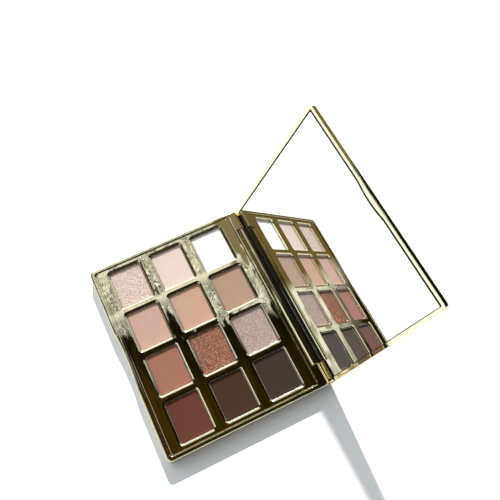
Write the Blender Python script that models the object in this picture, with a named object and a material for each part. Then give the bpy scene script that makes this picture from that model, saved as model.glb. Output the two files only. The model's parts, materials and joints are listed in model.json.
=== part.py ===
"""Twelve-pan eyeshadow compact, standing open.

X runs along the hinge, Y from the front edge (the finger notch) to the hinge, Z up.
The origin is on the underside, midway between the sides. Lengths are in metres.
The lid's pieces are laid out as they lie on the closed compact, and hang on an empty
on the hinge axis that turns all of them to the open stop.
"""

import math

import bmesh
import bpy
from mathutils import Matrix, Vector

MM = 0.001

# Driving dimensions of the closed compact
LENGTH = 127.0 * MM
FRONT_EDGE = -52.7 * MM
BACK_EDGE = 51.8 * MM
BASE_HEIGHT = 8.6 * MM
LID_THICKNESS = 3.8 * MM
LID_GAP = 0.3 * MM
OPEN_ANGLE = math.radians(113.9)
OUTER_CORNER = 3.0 * MM
EDGE_ROUND = 1.1 * MM
CLEARANCE = 0.3 * MM
THIN_CLEARANCE = 0.1 * MM
CUT_PAST = 2.0 * MM

# Base shell
RIM_WIDTH = 2.5 * MM
RIM_BEVEL = 0.4 * MM
SEAT_FRONT = -50.0 * MM
DECK_FRONT = -49.0 * MM
LEDGE_WIDTH = 1.3 * MM
FLOOR = 1.5 * MM
NOTCH_LENGTH = 38.8 * MM
NOTCH_DEPTH = 1.1 * MM
LABEL_SIZE = (64.0 * MM, 26.0 * MM)
LABEL_CENTRE_Y = -24.0 * MM
LABEL_RECESS = 0.35 * MM
LABEL_THICKNESS = 0.2 * MM

# Deck tray, its windows and the pans
DECK_TOP = BASE_HEIGHT - 0.5 * MM
DECK_THICKNESS = 1.2 * MM
DECK_BACK = 45.0 * MM
DECK_CORNER = 1.6 * MM
COLUMNS = 4
ROW_NAMES = ("front", "middle", "back")
WINDOW = (26.1 * MM, 21.8 * MM)
PITCH = (29.87 * MM, 28.95 * MM)
FIRST_WINDOW_Y = -42.05 * MM
WINDOW_CORNER = 1.7 * MM
WINDOW_BEVEL = 0.5 * MM
CUP_WALL = 0.8 * MM
CUP_BOTTOM = FLOOR + CLEARANCE
CUP_FLOOR = CUP_BOTTOM + CUP_WALL
TIN_GAP = 0.2 * MM
TIN_WALL = 0.35 * MM
TIN_BOTTOM = CUP_FLOOR + TIN_GAP
TIN_RIM = DECK_TOP - 1.45 * MM
CAKE_GAP = 0.1 * MM
CAKE_TOP = TIN_RIM - 0.15 * MM
CAKE_EDGE = 0.4 * MM

# Hinge
HINGE = Vector((0.0, 49.4 * MM, 5.9 * MM))
BARREL_RADIUS = 2.3 * MM
BARREL_LENGTH = 99.0 * MM
SLOT_LENGTH = BARREL_LENGTH + 2 * CLEARANCE
SLOT_FRONT = 46.5 * MM
SLOT_FLOOR = 3.1 * MM
WEB_FRONT = -2.3 * MM
WEB_BACK = 1.2 * MM
PIN_RADIUS = 0.8 * MM
PIN_HOLE_RADIUS = 1.0 * MM
PIN_REACH = 5.0 * MM
PIN_INSET = 0.6 * MM
HEEL_RELIEF = 2.7 * MM
RELIEF_TILT = math.radians(51)

# Magnets in the base's front rail and the steel keepers above them in the lid
MAGNET = (10.0 * MM, 3.0 * MM, 2.0 * MM)
MAGNET_X = 38.0 * MM
MAGNET_Y = -45.7 * MM
MAGNET_BOSS_WALL = 0.7 * MM
MAGNET_TOP = DECK_TOP - DECK_THICKNESS - CLEARANCE
KEEPER = (12.0 * MM, 5.0 * MM, 0.5 * MM)

# Lid
LID_BOTTOM = BASE_HEIGHT + LID_GAP
LID_TOP = LID_BOTTOM + LID_THICKNESS
LID_RIM = 2.4 * MM
LID_FRONT_RIM = 1.85 * MM
MIRROR_BACK_EDGE = 45.4 * MM
MIRROR_LEFT_GAP = 0.6 * MM
MIRROR_FRONT_GAP = 1.3 * MM
MIRROR_CORNER = 0.9 * MM
MIRROR_RECESS = 0.5 * MM
MIRROR_THICKNESS = 1.1 * MM
PAD_THICKNESS = 0.2 * MM
PAD_INSET = 6.0 * MM
PANEL_INSET = 5.0 * MM
PANEL_THICKNESS = 0.4 * MM
PANEL_CORNER = 2.0 * MM
SCOOP_WIDTH = 24.0 * MM
SCOOP_BULGE = 1.1 * MM
SCOOP_DISH = (26.0 * MM, 3.1 * MM, 1.4 * MM)
SCOOP_DISH_AHEAD = 2.6 * MM

MIRROR_FACE = LID_BOTTOM + MIRROR_RECESS
MIRROR_BACK = MIRROR_FACE + MIRROR_THICKNESS
PAD_BOTTOM = MIRROR_BACK + THIN_CLEARANCE
LID_POCKET_TOP = PAD_BOTTOM + PAD_THICKNESS + THIN_CLEARANCE

CORNER_STEPS = 5
SMALL_CORNER_STEPS = 3
EDGE_STEPS = 3
ROUND_SIDES = 32
SMALL_ROUND_SIDES = 16
SMOOTH_ANGLE = math.radians(35)

GOLD = (0.83, 0.72, 0.42)
SHADES = {
    "front": ((0.73, 0.58, 0.52), (0.68, 0.44, 0.37), (0.42, 0.18, 0.13), (0.15, 0.05, 0.04)),
    "middle": ((0.87, 0.73, 0.66), (0.66, 0.40, 0.28), (0.40, 0.17, 0.11), (0.07, 0.03, 0.02)),
    "back": ((0.97, 0.96, 0.93), (0.48, 0.32, 0.22), (0.49, 0.37, 0.34), (0.05, 0.04, 0.03)),
}


def clear_scene():
    for obj in list(bpy.data.objects):
        bpy.data.objects.remove(obj, do_unlink=True)


def new_collection(name):
    collection = bpy.data.collections.new(name)
    bpy.context.scene.collection.children.link(collection)
    return collection


clear_scene()
PARTS = new_collection("eyeshadow_palette")
CUTTERS = new_collection("cutters")
CUTTERS.hide_render = True


def material(name, colour, roughness, metallic=0.0):
    made = bpy.data.materials.new(name)
    made.use_nodes = True
    shader = made.node_tree.nodes["Principled BSDF"]
    shader.inputs["Base Color"].default_value = (*colour, 1.0)
    shader.inputs["Roughness"].default_value = roughness
    shader.inputs["Metallic"].default_value = metallic
    made.diffuse_color = (*colour, 1.0)
    return made


def add_object(name, mesh_edit, finish=None):
    """An object from a bmesh: a part when it has a material, otherwise a cutter."""
    bmesh.ops.recalc_face_normals(mesh_edit, faces=mesh_edit.faces)
    mesh = bpy.data.meshes.new(name)
    mesh_edit.to_mesh(mesh)
    mesh_edit.free()
    obj = bpy.data.objects.new(name, mesh)
    if finish:
        mesh.materials.append(finish)
        mesh.shade_smooth()
        mesh.set_sharp_from_angle(angle=SMOOTH_ANGLE)
        PARTS.objects.link(obj)
    else:
        obj.hide_render = True
        obj.display_type = "WIRE"
        CUTTERS.objects.link(obj)
    return obj


def rounded_outline(low, high, corner, growth, steps):
    """The points of a rounded rectangle, grown outwards, counter-clockwise."""
    radius = corner + growth
    centres = [
        (high[0] - corner, high[1] - corner),
        (low[0] + corner, high[1] - corner),
        (low[0] + corner, low[1] + corner),
        (high[0] - corner, low[1] + corner),
    ]
    points = []
    for quarter, (x, y) in enumerate(centres):
        for step in range(steps + 1):
            angle = (quarter + step / steps) * math.pi / 2
            points.append((x + radius * math.cos(angle), y + radius * math.sin(angle)))
    return points


def edge_tiers(bottom, top, bottom_round=0.0, top_round=0.0):
    """Heights and growths of a block's outline, with its bottom and top edges rounded."""
    tiers = []
    for step in range(EDGE_STEPS + 1 if bottom_round else 1):
        angle = step / EDGE_STEPS * math.pi / 2
        drop = bottom_round * (1 - math.sin(angle))
        tiers.append((bottom + bottom_round * (1 - math.cos(angle)), -drop))
    for step in range(EDGE_STEPS + 1 if top_round else 1):
        angle = step / EDGE_STEPS * math.pi / 2
        drop = top_round * (1 - math.cos(angle))
        tiers.append((top - top_round * (1 - math.sin(angle)), -drop))
    return tiers


def flared_tiers(bottom, mouth, flare):
    """Heights and growths of a cutter that widens by its flare at the mouth of its hollow."""
    return [(bottom, 0.0), (mouth - flare, 0.0), (mouth + CUT_PAST, flare + CUT_PAST)]


def loft_into(mesh_edit, low, high, corner, tiers, steps):
    """Adds one closed block: a rounded rectangle carried up through its tiers."""
    rings = []
    for height, growth in tiers:
        outline = rounded_outline(low, high, corner, growth, steps)
        rings.append([mesh_edit.verts.new((x, y, height)) for x, y in outline])
    count = len(rings[0])
    for lower, upper in zip(rings, rings[1:]):
        for i in range(count):
            j = (i + 1) % count
            mesh_edit.faces.new((lower[i], lower[j], upper[j], upper[i]))
    mesh_edit.faces.new(reversed(rings[0]))
    mesh_edit.faces.new(rings[-1])


def lofted_block(name, low, high, corner, tiers, finish=None, steps=SMALL_CORNER_STEPS):
    mesh_edit = bmesh.new()
    loft_into(mesh_edit, low, high, corner, tiers, steps)
    return add_object(name, mesh_edit, finish)


def box(name, low, high, finish=None):
    mesh_edit = bmesh.new()
    bmesh.ops.create_cube(mesh_edit, size=1.0)
    size = Vector(high) - Vector(low)
    middle = (Vector(high) + Vector(low)) / 2
    bmesh.ops.scale(mesh_edit, vec=size, verts=mesh_edit.verts)
    bmesh.ops.translate(mesh_edit, vec=middle, verts=mesh_edit.verts)
    return add_object(name, mesh_edit, finish)


def cylinder(name, start, end, radius, sides, finish=None):
    """A closed cylinder between two points."""
    along = Vector(end) - Vector(start)
    turn = Vector((0, 0, 1)).rotation_difference(along).to_matrix().to_4x4()
    mesh_edit = bmesh.new()
    bmesh.ops.create_cone(
        mesh_edit,
        cap_ends=True,
        segments=sides,
        radius1=radius,
        radius2=radius,
        depth=along.length,
        matrix=Matrix.Translation((Vector(start) + Vector(end)) / 2) @ turn,
    )
    return add_object(name, mesh_edit, finish)


def combine(obj, other, operation):
    modifier = obj.modifiers.new(f"{operation.lower()} {other.name}", "BOOLEAN")
    modifier.operation = operation
    modifier.solver = "EXACT"
    modifier.object = other


def window_corners(row, column):
    """The low and high corners of one pan's window in the deck."""
    low_x = (column - (COLUMNS - 1) / 2) * PITCH[0] - WINDOW[0] / 2
    low_y = FIRST_WINDOW_Y + row * PITCH[1]
    return (low_x, low_y), (low_x + WINDOW[0], low_y + WINDOW[1])


def grown(low, high, growth):
    return (low[0] - growth, low[1] - growth), (high[0] + growth, high[1] + growth)


def each_window():
    for row, row_name in enumerate(ROW_NAMES):
        for column in range(COLUMNS):
            yield row_name, column, window_corners(row, column)


OUTER = ((-LENGTH / 2, FRONT_EDGE), (LENGTH / 2, BACK_EDGE))
SEAT = (
    (OUTER[0][0] + RIM_WIDTH, SEAT_FRONT),
    (OUTER[1][0] - RIM_WIDTH, DECK_BACK + CLEARANCE),
)


def base_shell():
    shell = lofted_block(
        "base_shell",
        *OUTER,
        OUTER_CORNER,
        edge_tiers(0.0, BASE_HEIGHT, EDGE_ROUND, EDGE_ROUND),
        material("base_gold", GOLD, 0.08, 1.0),
        CORNER_STEPS,
    )
    seat_bottom = DECK_TOP - DECK_THICKNESS - CLEARANCE
    seat_cut = lofted_block(
        "seat_cut", *SEAT, DECK_CORNER + CLEARANCE, flared_tiers(seat_bottom, BASE_HEIGHT, RIM_BEVEL)
    )
    combine(shell, seat_cut, "DIFFERENCE")
    cavity_cut = lofted_block(
        "cavity_cut",
        *grown(*SEAT, -LEDGE_WIDTH),
        DECK_CORNER,
        edge_tiers(FLOOR, seat_bottom + CUT_PAST / 2),
    )
    combine(shell, cavity_cut, "DIFFERENCE")
    for side, sign in (("left", -1), ("right", 1)):
        combine(shell, magnet_boss(side, sign), "UNION")
        combine(shell, magnet_pocket(side, sign), "DIFFERENCE")
    slot_cut = box(
        "slot_cut",
        (-SLOT_LENGTH / 2, SLOT_FRONT, SLOT_FLOOR),
        (SLOT_LENGTH / 2, BACK_EDGE + CUT_PAST, BASE_HEIGHT + CUT_PAST),
    )
    combine(shell, slot_cut, "DIFFERENCE")
    for side, sign in (("left", -1), ("right", 1)):
        bore = cylinder(
            f"pin_bore_cut_{side}",
            (sign * (SLOT_LENGTH / 2 - CUT_PAST), HINGE.y, HINGE.z),
            (sign * (LENGTH / 2 + CUT_PAST), HINGE.y, HINGE.z),
            PIN_HOLE_RADIUS,
            SMALL_ROUND_SIDES,
        )
        combine(shell, bore, "DIFFERENCE")
    combine(shell, notch_cutter(), "DIFFERENCE")
    combine(shell, label_recess(), "DIFFERENCE")
    combine(shell, heel_relief(), "DIFFERENCE")
    return shell


def heel_relief():
    """Eases the base's back top edge, which the lid passes closely as it opens."""
    reach = LID_THICKNESS
    mesh_edit = bmesh.new()
    bmesh.ops.create_cube(mesh_edit, size=1.0)
    bmesh.ops.scale(mesh_edit, vec=(2 * LENGTH, reach, reach), verts=mesh_edit.verts)
    bmesh.ops.translate(mesh_edit, vec=(0.0, HEEL_RELIEF + reach / 2, 0.0), verts=mesh_edit.verts)
    bmesh.ops.transform(
        mesh_edit,
        matrix=Matrix.Translation(HINGE) @ Matrix.Rotation(RELIEF_TILT, 4, "X"),
        verts=mesh_edit.verts,
    )
    return add_object("heel_relief_cut", mesh_edit)


def magnet_boss(side, sign):
    """The block on the base's floor that holds one magnet."""
    half_x = MAGNET[0] / 2 + CLEARANCE + MAGNET_BOSS_WALL
    half_y = MAGNET[1] / 2 + CLEARANCE + MAGNET_BOSS_WALL
    return box(
        f"magnet_boss_{side}",
        (sign * MAGNET_X - half_x, MAGNET_Y - half_y, FLOOR / 2),
        (sign * MAGNET_X + half_x, MAGNET_Y + half_y, MAGNET_TOP),
    )


def magnet_pocket(side, sign):
    half_x = MAGNET[0] / 2 + CLEARANCE
    half_y = MAGNET[1] / 2 + CLEARANCE
    return box(
        f"magnet_pocket_{side}",
        (sign * MAGNET_X - half_x, MAGNET_Y - half_y, MAGNET_TOP - MAGNET[2] - CLEARANCE),
        (sign * MAGNET_X + half_x, MAGNET_Y + half_y, MAGNET_TOP + CUT_PAST / 2),
    )


def arc_radius(chord, height):
    return (chord * chord / 4 + height * height) / (2 * height)


def notch_cutter():
    """An upright cylinder that scoops the finger notch out of the front edge."""
    radius = arc_radius(NOTCH_LENGTH, NOTCH_DEPTH)
    centre_y = FRONT_EDGE + NOTCH_DEPTH - radius
    return cylinder(
        "notch_cut",
        (0.0, centre_y, -CUT_PAST),
        (0.0, centre_y, BASE_HEIGHT + CUT_PAST),
        radius,
        ROUND_SIDES * 6,
    )


def label_corners():
    half_x = LABEL_SIZE[0] / 2
    half_y = LABEL_SIZE[1] / 2
    return (-half_x, LABEL_CENTRE_Y - half_y), (half_x, LABEL_CENTRE_Y + half_y)


def label_recess():
    return lofted_block(
        "label_recess_cut",
        *grown(*label_corners(), CLEARANCE),
        WINDOW_CORNER,
        edge_tiers(-CUT_PAST, LABEL_RECESS),
    )


def base_label():
    top = LABEL_RECESS - THIN_CLEARANCE
    return lofted_block(
        "base_label",
        *label_corners(),
        WINDOW_CORNER,
        edge_tiers(top - LABEL_THICKNESS, top),
        material("label_paper", (0.85, 0.82, 0.74), 0.7),
    )


def deck_tray():
    low = (SEAT[0][0] + CLEARANCE, DECK_FRONT)
    high = (SEAT[1][0] - CLEARANCE, DECK_BACK)
    tray = lofted_block(
        "deck_tray",
        low,
        high,
        DECK_CORNER,
        edge_tiers(DECK_TOP - DECK_THICKNESS, DECK_TOP, 0.0, THIN_CLEARANCE * 2),
        material("deck_gold", GOLD, 0.08, 1.0),
    )
    cups = bmesh.new()
    pockets = bmesh.new()
    for _, _, corners in each_window():
        loft_into(
            cups,
            *grown(*corners, CUP_WALL),
            WINDOW_CORNER + CUP_WALL,
            edge_tiers(CUP_BOTTOM, DECK_TOP - DECK_THICKNESS / 2),
            SMALL_CORNER_STEPS,
        )
        loft_into(
            pockets,
            *corners,
            WINDOW_CORNER,
            flared_tiers(CUP_FLOOR, DECK_TOP, WINDOW_BEVEL),
            SMALL_CORNER_STEPS,
        )
    combine(tray, add_object("pan_cups", cups), "UNION")
    combine(tray, add_object("pan_pockets", pockets), "DIFFERENCE")
    return tray


def pan_tin(row_name, column, corners):
    """A drawn metal tin, open at the top."""
    name = f"tin_{row_name}_{column + 1}"
    corner = WINDOW_CORNER - TIN_GAP
    tin = lofted_block(
        name,
        *grown(*corners, -TIN_GAP),
        corner,
        edge_tiers(TIN_BOTTOM, TIN_RIM),
        material(name, (0.75, 0.73, 0.70), 0.3, 1.0),
    )
    hollow = lofted_block(
        f"{name}_hollow",
        *grown(*corners, -TIN_GAP - TIN_WALL),
        corner - TIN_WALL,
        edge_tiers(TIN_BOTTOM + TIN_WALL, TIN_RIM + CUT_PAST),
    )
    combine(tin, hollow, "DIFFERENCE")
    return tin


def powder_cake(row_name, column, corners):
    """The pressed colour that fills a tin, with a softened top edge."""
    name = f"shade_{row_name}_{column + 1}"
    inset = TIN_GAP + TIN_WALL + CAKE_GAP
    return lofted_block(
        name,
        *grown(*corners, -inset),
        WINDOW_CORNER - inset,
        edge_tiers(TIN_BOTTOM + TIN_WALL + CAKE_GAP, CAKE_TOP, 0.0, CAKE_EDGE),
        material(name, SHADES[row_name][column], 0.85),
    )


def hinge_pin(side, sign):
    return cylinder(
        f"hinge_pin_{side}",
        (sign * (BARREL_LENGTH / 2 - PIN_REACH), HINGE.y, HINGE.z),
        (sign * (LENGTH / 2 - PIN_INSET), HINGE.y, HINGE.z),
        PIN_RADIUS,
        SMALL_ROUND_SIDES,
        material(f"pin_steel_{side}", (0.60, 0.60, 0.62), 0.25, 1.0),
    )


def closing_magnet(side, sign):
    top = MAGNET_TOP - THIN_CLEARANCE
    return box(
        f"base_magnet_{side}",
        (sign * MAGNET_X - MAGNET[0] / 2, MAGNET_Y - MAGNET[1] / 2, top - MAGNET[2]),
        (sign * MAGNET_X + MAGNET[0] / 2, MAGNET_Y + MAGNET[1] / 2, top),
        material(f"magnet_nickel_{side}", (0.55, 0.55, 0.57), 0.3, 1.0),
    )


def into_lid(obj):
    """Moves a piece drawn on the closed compact under the hinge's empty."""
    obj.data.transform(Matrix.Translation(-HINGE))
    obj.parent = LID_HINGE
    return obj


def add_lid_hinge():
    empty = bpy.data.objects.new("lid_hinge", None)
    empty.location = HINGE
    empty.rotation_euler.x = -OPEN_ANGLE
    PARTS.objects.link(empty)
    return empty


def recess_corners():
    return (
        (OUTER[0][0] + LID_RIM, FRONT_EDGE + LID_FRONT_RIM),
        (OUTER[1][0] - LID_RIM, MIRROR_BACK_EDGE + CLEARANCE),
    )


def scoop_cylinder(name, growth, bottom, top):
    """An upright cylinder whose arc is the inner edge of the finger scoop."""
    radius = arc_radius(SCOOP_WIDTH, SCOOP_BULGE)
    centre_y = FRONT_EDGE + LID_FRONT_RIM + SCOOP_BULGE - radius
    start = (0.0, centre_y, bottom)
    end = (0.0, centre_y, top)
    return cylinder(name, start, end, radius + growth, ROUND_SIDES * 3)


def lid_shell():
    shell = lofted_block(
        "lid_shell",
        *OUTER,
        OUTER_CORNER,
        edge_tiers(LID_BOTTOM, LID_TOP, RIM_BEVEL, EDGE_ROUND),
        material("lid_gold", GOLD, 0.08, 1.0),
        CORNER_STEPS,
    )
    recess_cut = lofted_block(
        "mirror_recess_cut",
        *recess_corners(),
        MIRROR_CORNER,
        edge_tiers(LID_BOTTOM - CUT_PAST, LID_POCKET_TOP),
    )
    scoop_keep = scoop_cylinder("scoop_keep", 0.0, LID_BOTTOM - 2 * CUT_PAST, LID_TOP + CUT_PAST)
    combine(recess_cut, scoop_keep, "DIFFERENCE")
    dish_cut = scoop_dish()
    panel_cut = lofted_block(
        "panel_recess_cut",
        *grown(*OUTER, THIN_CLEARANCE - PANEL_INSET),
        PANEL_CORNER + THIN_CLEARANCE,
        edge_tiers(LID_TOP - PANEL_THICKNESS - THIN_CLEARANCE, LID_TOP + CUT_PAST),
    )
    for cutter in (recess_cut, dish_cut, panel_cut, heel_cutter()):
        combine(shell, into_lid(cutter), "DIFFERENCE")
    into_lid(scoop_keep)
    for side, sign in (("left", -1), ("right", 1)):
        combine(shell, into_lid(keeper_pocket(side, sign)), "DIFFERENCE")
    add_knuckle(shell)
    return into_lid(shell)


def scoop_dish():
    """A shallow ellipsoid under the lid's front edge, which a fingertip catches."""
    mesh_edit = bmesh.new()
    bmesh.ops.create_uvsphere(mesh_edit, u_segments=ROUND_SIDES, v_segments=ROUND_SIDES // 2, radius=1.0)
    bmesh.ops.scale(mesh_edit, vec=SCOOP_DISH, verts=mesh_edit.verts)
    bmesh.ops.translate(mesh_edit, vec=(0.0, FRONT_EDGE - SCOOP_DISH_AHEAD, LID_BOTTOM), verts=mesh_edit.verts)
    return add_object("scoop_dish_cut", mesh_edit)


def heel_cutter():
    """Cuts the lid's heel so that it lies along the base's back wall at the open stop."""
    stop_distance = BACK_EDGE + CLEARANCE - HINGE.y
    reach = 4 * LID_THICKNESS
    mesh_edit = bmesh.new()
    bmesh.ops.create_cube(mesh_edit, size=1.0)
    bmesh.ops.scale(mesh_edit, vec=(2 * LENGTH, reach, 2 * reach), verts=mesh_edit.verts)
    heel_low = (LID_BOTTOM - HINGE.z) * math.cos(OPEN_ANGLE) - reach
    bmesh.ops.translate(
        mesh_edit,
        vec=(0.0, stop_distance - reach / 2, heel_low),
        verts=mesh_edit.verts,
    )
    bmesh.ops.transform(
        mesh_edit,
        matrix=Matrix.Translation(HINGE) @ Matrix.Rotation(OPEN_ANGLE, 4, "X"),
        verts=mesh_edit.verts,
    )
    return add_object("heel_cut", mesh_edit)


def keeper_pocket(side, sign):
    half_x = KEEPER[0] / 2 + CLEARANCE
    half_y = KEEPER[1] / 2 + CLEARANCE
    return box(
        f"keeper_pocket_{side}",
        (sign * MAGNET_X - half_x, MAGNET_Y - half_y, LID_POCKET_TOP - CUT_PAST / 2),
        (sign * MAGNET_X + half_x, MAGNET_Y + half_y, LID_POCKET_TOP + KEEPER[2] + THIN_CLEARANCE),
    )


def add_knuckle(shell):
    """Joins the hinge barrel to the lid by a web, and bores its ends for the pins."""
    barrel = cylinder(
        "barrel",
        (-BARREL_LENGTH / 2, HINGE.y, HINGE.z),
        (BARREL_LENGTH / 2, HINGE.y, HINGE.z),
        BARREL_RADIUS,
        ROUND_SIDES,
    )
    web = box(
        "barrel_web",
        (-BARREL_LENGTH / 2, HINGE.y + WEB_FRONT, HINGE.z),
        (BARREL_LENGTH / 2, HINGE.y + WEB_BACK, LID_BOTTOM + CUT_PAST / 2),
    )
    combine(shell, into_lid(web), "UNION")
    combine(shell, into_lid(barrel), "UNION")
    for side, sign in (("left", -1), ("right", 1)):
        bore = cylinder(
            f"barrel_bore_cut_{side}",
            (sign * (BARREL_LENGTH / 2 - PIN_REACH - CLEARANCE), HINGE.y, HINGE.z),
            (sign * (BARREL_LENGTH / 2 + CUT_PAST), HINGE.y, HINGE.z),
            PIN_HOLE_RADIUS,
            SMALL_ROUND_SIDES,
        )
        combine(shell, into_lid(bore), "DIFFERENCE")


def mirror():
    low, high = recess_corners()
    glass = lofted_block(
        "mirror",
        (low[0] + MIRROR_LEFT_GAP, low[1] + MIRROR_FRONT_GAP),
        (high[0] - CLEARANCE, high[1] - CLEARANCE),
        MIRROR_CORNER - CLEARANCE,
        edge_tiers(MIRROR_FACE, MIRROR_BACK),
        material("mirror_glass", (0.92, 0.93, 0.93), 0.02, 1.0),
    )
    scoop_cut = scoop_cylinder(
        "mirror_scoop_cut", MIRROR_FRONT_GAP, MIRROR_FACE - CUT_PAST, MIRROR_BACK + CUT_PAST
    )
    combine(glass, into_lid(scoop_cut), "DIFFERENCE")
    return into_lid(glass)


def mirror_pad():
    pad = lofted_block(
        "mirror_adhesive_pad",
        *grown(*recess_corners(), -PAD_INSET),
        MIRROR_CORNER,
        edge_tiers(PAD_BOTTOM, PAD_BOTTOM + PAD_THICKNESS),
        material("adhesive_pad", (0.75, 0.74, 0.70), 0.8),
    )
    return into_lid(pad)


def lid_keeper(side, sign):
    keeper = box(
        f"lid_keeper_{side}",
        (sign * MAGNET_X - KEEPER[0] / 2, MAGNET_Y - KEEPER[1] / 2, LID_POCKET_TOP),
        (sign * MAGNET_X + KEEPER[0] / 2, MAGNET_Y + KEEPER[1] / 2, LID_POCKET_TOP + KEEPER[2]),
        material(f"keeper_steel_{side}", (0.58, 0.58, 0.60), 0.3, 1.0),
    )
    return into_lid(keeper)


def lid_panel():
    panel = lofted_block(
        "lid_panel",
        *grown(*OUTER, -PANEL_INSET),
        PANEL_CORNER,
        edge_tiers(LID_TOP - PANEL_THICKNESS, LID_TOP),
        material("panel_gold", (0.80, 0.66, 0.42), 0.2, 1.0),
    )
    return into_lid(panel)


def build_base():
    base_shell()
    base_label()
    deck_tray()
    for row_name, column, corners in each_window():
        pan_tin(row_name, column, corners)
        powder_cake(row_name, column, corners)
    for side, sign in (("left", -1), ("right", 1)):
        hinge_pin(side, sign)
        closing_magnet(side, sign)


def build_lid():
    lid_shell()
    mirror()
    mirror_pad()
    lid_panel()
    for side, sign in (("left", -1), ("right", 1)):
        lid_keeper(side, sign)


LID_HINGE = add_lid_hinge()
build_base()
build_lid()
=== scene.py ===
"""Looks of the open twelve-pan eyeshadow compact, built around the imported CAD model.

X runs along the hinge, Y from the front edge to the hinge, Z up, lengths in metres.
The lid's pieces are drawn as they lie on the closed compact, then turned open about the hinge.
"""

import json
import math

import bmesh
import bpy
from mathutils import Matrix, Vector, noise


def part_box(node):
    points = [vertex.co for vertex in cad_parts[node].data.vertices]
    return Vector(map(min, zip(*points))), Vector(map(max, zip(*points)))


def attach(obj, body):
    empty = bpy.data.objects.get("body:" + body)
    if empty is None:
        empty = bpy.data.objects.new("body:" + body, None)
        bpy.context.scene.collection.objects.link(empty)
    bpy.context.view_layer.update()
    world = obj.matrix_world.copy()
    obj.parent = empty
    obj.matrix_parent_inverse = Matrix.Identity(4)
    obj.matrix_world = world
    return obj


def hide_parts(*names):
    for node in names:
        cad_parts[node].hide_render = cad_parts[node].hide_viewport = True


MM = 0.001

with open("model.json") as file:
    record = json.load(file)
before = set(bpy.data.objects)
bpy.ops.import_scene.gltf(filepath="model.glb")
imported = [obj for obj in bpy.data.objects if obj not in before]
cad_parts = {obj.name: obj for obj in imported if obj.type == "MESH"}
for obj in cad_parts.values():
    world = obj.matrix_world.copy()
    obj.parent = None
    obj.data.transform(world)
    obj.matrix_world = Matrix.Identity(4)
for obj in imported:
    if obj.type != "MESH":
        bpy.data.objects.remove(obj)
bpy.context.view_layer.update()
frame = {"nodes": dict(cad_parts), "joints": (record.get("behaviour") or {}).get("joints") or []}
JOINT = frame["joints"][0]

# Sizes that the CAD model gives
OUTER_LOW, OUTER_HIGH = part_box("base_shell")
DECK_LOW, DECK_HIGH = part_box("deck_tray")
HINGE = Vector(JOINT["pos_m"])
OPEN_ANGLE = math.radians(-JOINT["range_deg"][0])
BASE_HEIGHT = OUTER_HIGH.z
DECK_TOP = DECK_HIGH.z

# Details of the casing: a pair is a width and a depth, or a chord and its rise
OUTER_CORNER = 3.0 * MM
EDGE_ROUND = 1.1 * MM
RIM_WIDTH = 2.5 * MM
RIM_CHAMFER = (0.42 * MM, 0.135 * MM)
SEAT_FRONT = -50.0 * MM
CLEARANCE = 0.3 * MM
CUT_PAST = 2.0 * MM
LEDGE_WIDTH = 1.3 * MM
FLOOR_THICKNESS = 1.5 * MM
NOTCH = (38.8 * MM, 1.1 * MM)
BOW_BLEND = 0.06 * MM
BOW_MARGIN = 3.0 * MM
DECK_THICKNESS = 1.2 * MM
DECK_CORNER = 1.6 * MM
DECK_EDGE = 0.3 * MM
WINDOW_CORNER = 1.7 * MM
WINDOW_LIP = (1.15 * MM, 0.28 * MM)
WINDOW_TO_CAKE = 0.65 * MM
CUP_WALL = 0.8 * MM
TIN_GAP = 0.2 * MM
TIN_WALL = 0.35 * MM
TIN_FOOT = 0.3 * MM
CAKE_EDGE = 0.4 * MM
CAKE_SUNK = 0.3 * MM
CAKE_GRID = (24, 20)
SWELL_DEPTH = 0.05 * MM
SWELL_FADE = 1.5 * MM
SWELLS_PER_METRE = 180
ROW_SEED = 7.3
COLUMN_SEED = 5.1
GLUE_GAP = 0.1 * MM
LABEL_ROUND = 0.05 * MM

# Details of the hinge
BARREL_RADIUS = 2.3 * MM
BARREL_LENGTH = 99.0 * MM
BARREL_CHAMFER = 0.15 * MM
SLOT_FRONT = 46.5 * MM
SLOT_FLOOR = 3.1 * MM
WEB = (-2.3 * MM, 1.2 * MM)
WEB_INTO_LID = 1.0 * MM
PIN_HOLE_RADIUS = 1.0 * MM
PIN_REACH = 5.0 * MM
PIN_CHAMFER = 0.2 * MM
HEEL_RELIEF = 2.7 * MM
RELIEF_TILT = math.radians(51)
RELIEF_REACH = 4.0 * MM
RELIEF_HALF_HEIGHT = 2.0 * MM
HEEL_REACH = 15.0 * MM
HEEL_HEIGHT = 30.0 * MM

# Details of the lid, in the closed position
LID_BOTTOM = BASE_HEIGHT + 0.3 * MM
LID_THICKNESS = 3.8 * MM
LID_TOP = LID_BOTTOM + LID_THICKNESS
LID_RIM = 2.4 * MM
LID_FRONT_RIM = 1.85 * MM
LID_EDGE = 0.15 * MM
LID_TOP_ROUND = 1.7 * MM
EASED_EDGE = 0.12 * MM
MIRROR_CORNER = 0.9 * MM
RECESS_BACK = 45.7 * MM
MIRROR_GAPS = {"left": 0.6 * MM, "right": 0.3 * MM, "front": 1.3 * MM, "back": 0.3 * MM}
MIRROR_FACE = LID_BOTTOM + 0.5 * MM
MIRROR_THICKNESS = 1.1 * MM
MIRROR_CHAMFER = 0.12 * MM
RECESS_TOP = MIRROR_FACE + MIRROR_THICKNESS + 0.4 * MM
PANEL_INSET = 5.0 * MM
PANEL_THICKNESS = 0.4 * MM
PANEL_CORNER = 2.0 * MM
PANEL_ROUND = 0.12 * MM
RECESS_LIP = (0.15 * MM, 0.14 * MM)
SCOOP = (24.0 * MM, 1.1 * MM)
DISH = (26.0 * MM, 3.1 * MM, 1.4 * MM)
DISH_AHEAD = 2.6 * MM

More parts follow.
